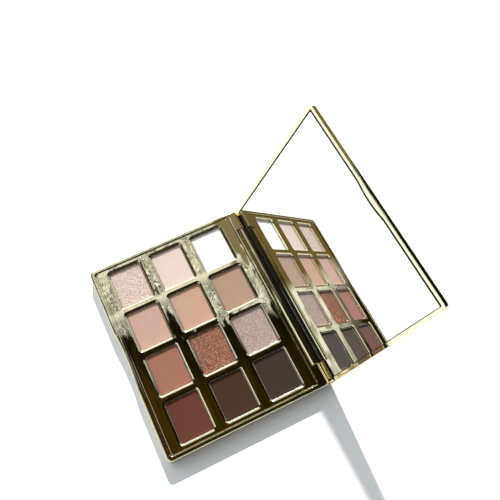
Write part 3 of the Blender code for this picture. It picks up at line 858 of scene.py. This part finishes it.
# Colour, the flakes' painted glint colour and share, flakes per metre, the strength of that
# painted glint and how unevenly bright the flakes are painted
SPARKLING = {
    ("front", 1): ((0.590, 0.458, 0.385), (0.95, 0.80, 0.73), 0.25, 2700.0, 0.6, 0.30),
    ("middle", 3): ((0.225, 0.090, 0.053), (0.72, 0.42, 0.31), 0.18, 2700.0, 0.8, 0.75),
    ("back", 3): ((0.370, 0.266, 0.230), (0.66, 0.56, 0.53), 0.30, 3400.0, 0.6, 0.38),
}


def powders():
    for (row, column), (colour, deep) in MATTE.items():
        cake(row, column, matte_powder(f"matte_powder_{row}_{column}", rgb(*colour), deep))
    for (row, column), (colour, glint_colour, *flakes) in SPARKLING.items():
        name = f"sparkling_powder_{row}_{column}"
        cake(row, column, sparkling_powder(name, rgb(*colour), rgb(*glint_colour), *flakes))


# ---------------------------------------------------------------- pieces that keep their CAD shape


def dress_hidden_nodes():
    nickel = plain_metal("magnet_nickel_plate", NICKEL_GREY, 0.3)
    steel = plain_metal("keeper_steel", KEEPER_GREY, 0.35)
    foam = paper("adhesive_foam", FOAM_WHITE)
    for side in ("left", "right"):
        dress(f"base_magnet_{side}", nickel)
        dress(f"lid_keeper_{side}", steel)
    dress("mirror_adhesive_pad", foam)


def dress(node, finish):
    obj = frame["nodes"][node]
    if not obj.material_slots:
        obj.data.materials.append(None)
    for slot in obj.material_slots:
        slot.link = "OBJECT"
        slot.material = finish


# ---------------------------------------------------------------- studio

FLOOR_HALF = 2.5
DOME_RADIUS = 2.2
DOME_FOOT = -0.05
CARD_DISTANCE = 2.0
KEY_CARD_HALF_ANGLE = 5.0
KEY_CARD_STRENGTH = 150.0
KEY_STRENGTH = 4.3
KEY_SIZE = math.radians(1.4)
KEY_COLOUR = (1.0, 0.985, 0.96)
KEY_FROM = Vector((-1.38, 0.54, 1.0))
FILL_STRENGTH = 0.52
FILL_SLOPE = 3.0
FILL_FROM = (-0.85, -0.53, 0.0)
FILL_COLOUR = rgb(0.90, 0.965, 1.0)
BACKDROP_COLOUR = rgb(0.93, 0.945, 0.95)
ONLY_REFLECTED = ("camera", "diffuse", "transmission", "volume_scatter", "shadow")
ONLY_SEEN = ("glossy", "diffuse", "transmission", "volume_scatter", "shadow")

# What the dome shows in each direction
BLACK_ROOM = rgb(0.006, 0.005, 0.002)
BROWN_ROOM = rgb(0.046, 0.027, 0.003)
LOW_GLOW = rgb(0.34, 0.32, 0.28)
OLIVE_WALL = rgb(0.17, 0.125, 0.045)
SOFT_WINDOW = rgb(0.96, 0.97, 0.96)
OLIVE_CORNER = rgb(0.24, 0.195, 0.12)
DIM_WINDOW = rgb(0.72, 0.73, 0.72)
SUN_GLARE = rgb(1.6, 1.6, 1.55)

# Each patch of the dome: along which directions it is bounded, as a fade in and a fade out.
# slanted, swayed and wavy are the directions x and y with uneven edges.
OVERHEAD = {
    "slanted": ((-0.80, -0.70), (-0.300, -0.286)),
    "swayed": ((-0.12, -0.08), (0.230, 0.240)),
    "z": ((0.3, 0.4), None),
}
FRONT = {
    "x": ((-0.26, -0.22), None),
    "y": ((-0.92, -0.88), (-0.38, -0.34)),
    "z": ((0.30, 0.36), None),
}
OLIVE_BACK = {"x": (None, (-0.36, -0.34)), "y": ((0.12, 0.20), None)}
OLIVE_FRONT = {
    "x": (None, (-0.25, -0.22)),
    "y": (None, (-0.60, -0.50)),
    "z": ((0.10, 0.15), (0.70, 0.80)),
}
GLARE = {"x": (None, (-0.78, -0.66)), "y": ((-0.30, -0.20), (0.50, 0.62))}
STRIP = {
    "x": ((-0.64, -0.60), (-0.21, -0.17)),
    "y": ((0.42, 0.46), (0.70, 0.74)),
    "z": ((0.30, 0.40), None),
}
CORNER = {
    "wavy": (None, (-0.340, -0.334)),
    "swayed": ((0.186, 0.194), None),
    "z": ((0.30, 0.40), None),
}
GLOW = {"y": ((-0.40, -0.30), None), "z": ((0.30, 0.34), (0.50, 0.58))}
SLANT = -0.32

# How finely each kind of unevenness varies along X, Y and Z
STREAK_SCALE = (16.0, 115.0, 40.0)
SWIRL_SCALE = (7.0, 9.0, 9.0)
SWAY_SCALE = (24.0, 175.0, 60.0)
BROAD_SCALE = (30.0, 90.0, 60.0)
BAND_RATE = 700.0
BAND_SWAY = 42.0
BAND_SHARE = 0.62


def hide_from(obj, rays):
    """Hides a piece of the studio from some kinds of ray."""
    for ray in rays:
        setattr(obj, f"visible_{ray}", False)


def floor():
    mesh_edit = bmesh.new()
    bmesh.ops.create_grid(mesh_edit, x_segments=8, y_segments=8, size=FLOOR_HALF)
    sheet = mesh_object("floor", mesh_edit)
    made = Nodes("floor_white_board")
    fleck = made.noise(900.0, 3.0)
    made.link(made.blend(fleck, FLOOR_WHITE, FLOOR_GREY), "Base Color")
    made.set(Roughness=0.9, Specular_IOR_Level=0.1)
    sheet.data.materials.append(made.material)


def room_dome():
    """What shiny faces see: soft windows, the sun's glare, olive walls and a dark room."""
    mesh_edit = bmesh.new()
    bmesh.ops.create_icosphere(mesh_edit, subdivisions=6, radius=DOME_RADIUS)
    under = [v for v in mesh_edit.verts if v.co.z < DOME_FOOT]
    bmesh.ops.delete(mesh_edit, geom=under, context="VERTS")
    dome = mesh_object("studio_dome", mesh_edit)
    made = Nodes("studio_dome_light")
    colour = dome_colour(made)
    made.tree.links.new(colour, made.only_shine().inputs["Color"])
    made.material.cycles.emission_sampling = "NONE"
    dome.data.materials.append(made.material)
    hide_from(dome, ONLY_REFLECTED)


def dome_colour(made):
    """The dome's colour in each direction, built up from the dark room to the glare."""
    unit = made.vector_math("NORMALIZE", made.place)
    streaks = made.stretched_noise(unit, STREAK_SCALE, 2.0)
    at = directions(made, unit, streaks)
    banded = made.product(patch(made, at, OVERHEAD), wavy_grain(made, unit, at["x"]))
    soft = made.product(patch(made, at, FRONT), made.span(streaks, 0.36, 0.58, 0.45, 1.45))
    olive = made.math("MAXIMUM", patch(made, at, OLIVE_BACK), patch(made, at, OLIVE_FRONT))
    room = made.blend(brown_share(made, at, streaks), BLACK_ROOM, BROWN_ROOM)
    for share, colour in (
        (patch(made, at, GLOW), LOW_GLOW),
        (olive, OLIVE_WALL),
        (made.math("MAXIMUM", banded, soft), SOFT_WINDOW),
        (patch(made, at, CORNER), OLIVE_CORNER),
        (patch(made, at, STRIP), DIM_WINDOW),
        (patch(made, at, GLARE), SUN_GLARE),
    ):
        room = made.blend(share, room, colour)
    return room


def directions(made, unit, streaks):
    """The coordinates that bound the patches."""
    x, y, z = made.add("ShaderNodeSeparateXYZ", Vector=unit).outputs
    swirls = made.stretched_noise(unit, SWIRL_SCALE, 2.0)
    fine = made.span(streaks, *NOISE_RANGE, -0.035, 0.035)
    shift = made.math("ADD", fine, made.span(swirls, *NOISE_RANGE, -0.018, 0.018))
    wavy = made.math("ADD", x, shift)
    slanted = made.math("ADD", made.math("MULTIPLY", y, SLANT), wavy)
    swayed = made.math("ADD", y, made.span(swirls, *NOISE_RANGE, -0.012, 0.012))
    return {"x": x, "y": y, "z": z, "wavy": wavy, "slanted": slanted, "swayed": swayed}


def patch(made, at, bounds):
    """A soft-edged patch of the dome."""
    parts = []
    for name, (fade_in, fade_out) in bounds.items():
        if fade_in:
            parts.append(made.span(at[name], *fade_in))
        if fade_out:
            parts.append(made.span(at[name], *fade_out, 1.0, 0.0))
    return made.product(*parts)


def brown_share(made, at, streaks):
    """How far the dark room turns from black to brown."""
    past_window = made.span(at["slanted"], -0.27, -0.12)
    towards_front = made.span(at["y"], -0.05, 0.24, 1.0, 0.4)
    uneven = made.span(streaks, *NOISE_RANGE, 0.5, 1.3)
    off_back = made.span(at["y"], 0.235, 0.27, 1.0, 0.1)
    off_front = made.span(at["y"], -0.25, -0.10, 0.3, 1.0)
    limited = made.math("MINIMUM", off_back, off_front)
    off_right = made.span(at["x"], -0.03, 0.08, 1.0, 0.12)
    return made.product(past_window, towards_front, uneven, limited, off_right)


def wavy_grain(made, unit, x):
    """Wood-like light and dark bands, with one smooth band between them."""
    sway = made.stretched_noise(unit, SWAY_SCALE, 0.0)
    phase = made.math("ADD", made.product(x, BAND_RATE), made.product(sway, BAND_SWAY))
    wave = made.span(made.math("SINE", phase, 0.0), -1.0, 1.0)
    broad = made.span(made.stretched_noise(unit, BROAD_SCALE, 1.0), 0.35, 0.65)
    level = made.math("ADD", made.product(wave, BAND_SHARE), made.product(broad, 1 - BAND_SHARE))
    banded = made.span(made.math("POWER", level, 3.0), 0.0, 1.0, 0.07, 3.9)
    smooth = made.product(made.span(x, -0.345, -0.338), made.span(x, -0.322, -0.314, 1.0, 0.0))
    dimming = made.span(x, -0.340, -0.320, 1.0, 0.40)
    calm = made.product(dimming, made.span(wave, 0.0, 1.0, 0.8, 1.1))
    return made.mix(smooth, banded, calm)


def backdrop():
    """A plain pale surround for the camera alone."""
    mesh_edit = bmesh.new()
    bmesh.ops.create_icosphere(mesh_edit, subdivisions=5, radius=DOME_RADIUS * 1.5)
    surround = mesh_object("backdrop", mesh_edit)
    made = Nodes("backdrop_pale")
    made.only_shine().inputs["Color"].default_value = BACKDROP_COLOUR
    made.material.cycles.emission_sampling = "NONE"
    surround.data.materials.append(made.material)
    hide_from(surround, ONLY_SEEN)


def key_card():
    """The key light as shiny faces see it."""
    mesh_edit = bmesh.new()
    spread = CARD_DISTANCE * math.tan(math.radians(KEY_CARD_HALF_ANGLE))
    bmesh.ops.create_circle(mesh_edit, cap_ends=True, segments=48, radius=spread)
    card = mesh_object("key_card", mesh_edit)
    card.location = KEY_FROM.normalized() * CARD_DISTANCE
    card.rotation_euler = KEY_FROM.to_track_quat("Z", "Y").to_euler()
    made = Nodes("key_card_light")
    made.only_shine().inputs["Strength"].default_value = KEY_CARD_STRENGTH
    card.data.materials.append(made.material)
    hide_from(card, ONLY_REFLECTED)


def lights():
    key = bpy.data.lights.new("key_light", "SUN")
    key.energy = KEY_STRENGTH
    key.angle = KEY_SIZE
    key.color = KEY_COLOUR
    lamp = bpy.data.objects.new("key_light", key)
    lamp.rotation_euler = KEY_FROM.to_track_quat("Z", "Y").to_euler()
    lamp.visible_glossy = False
    bpy.context.scene.collection.objects.link(lamp)
    bpy.context.scene.world = soft_fill()


def soft_fill():
    """A slightly cool light from all round, stronger from the front and the left."""
    world = bpy.data.worlds.new("soft_fill")
    world.use_nodes = True
    tree = world.node_tree
    way = tree.nodes.new("ShaderNodeTexCoord").outputs["Generated"]
    facing = tree.nodes.new("ShaderNodeVectorMath")
    facing.operation = "DOT_PRODUCT"
    facing.inputs[1].default_value = FILL_FROM
    tree.links.new(way, facing.inputs[0])
    level = arithmetic(tree, "MULTIPLY_ADD", facing.outputs["Value"], FILL_SLOPE, 1.0)
    strength = arithmetic(tree, "MULTIPLY", level, FILL_STRENGTH)
    never_negative = arithmetic(tree, "MAXIMUM", strength, 0.0)
    back = tree.nodes["Background"]
    back.inputs["Color"].default_value = FILL_COLOUR
    tree.links.new(never_negative, back.inputs["Strength"])
    return world


def arithmetic(tree, operation, source, *numbers):
    """One step of arithmetic on a linked value."""
    node = tree.nodes.new("ShaderNodeMath")
    node.operation = operation
    tree.links.new(source, node.inputs[0])
    for socket, number in zip(node.inputs[1:], numbers):
        socket.default_value = number
    return node.outputs[0]


# The photo's point of view
EYE_PLACE = (87.22 * MM, -33.83 * MM, 344.76 * MM)
EYE_TURN = (22.6307, 1.3424, 64.9311)
FOCAL_LENGTH = 40.488
SENSOR_WIDTH = 36.0
LENS_SHIFT = (0.0954, 0.0108)


def camera():
    lens = bpy.data.cameras.new("camera")
    lens.sensor_width = SENSOR_WIDTH
    lens.lens = FOCAL_LENGTH
    lens.shift_x, lens.shift_y = LENS_SHIFT
    lens.clip_start = 0.01
    lens.clip_end = 20.0
    eye = bpy.data.objects.new("camera", lens)
    eye.location = EYE_PLACE
    eye.rotation_euler = [math.radians(angle) for angle in EYE_TURN]
    bpy.context.scene.collection.objects.link(eye)
    bpy.context.scene.camera = eye


def build():
    casing_gold = gold("casing_gold", 0.012 * MM, 55.0)
    deck_gold = gold("deck_gold", 0.02 * MM, 70.0)
    base_casing(casing_gold)
    deck(deck_gold)
    tin_metal = plain_metal("tin_metal", TIN_GREY, 0.34)
    for row in ROWS:
        for column in COLUMNS:
            tin(row, column, tin_metal)
    powders()
    hinge_pins(plain_metal("pin_steel", STEEL_GREY, 0.2))
    label(paper("label_paper", LABEL_WHITE))
    lid_casing(casing_gold, painted_gap_shade())
    mirror(mirror_glass(), glass_edge())
    top_panel(gold("panel_gold", 0.006 * MM, 40.0, (0.10, 0.16)))
    dress_hidden_nodes()


bpy.context.scene.view_settings.view_transform = "Standard"
build()
floor()
room_dome()
backdrop()
key_card()
lights()
camera()
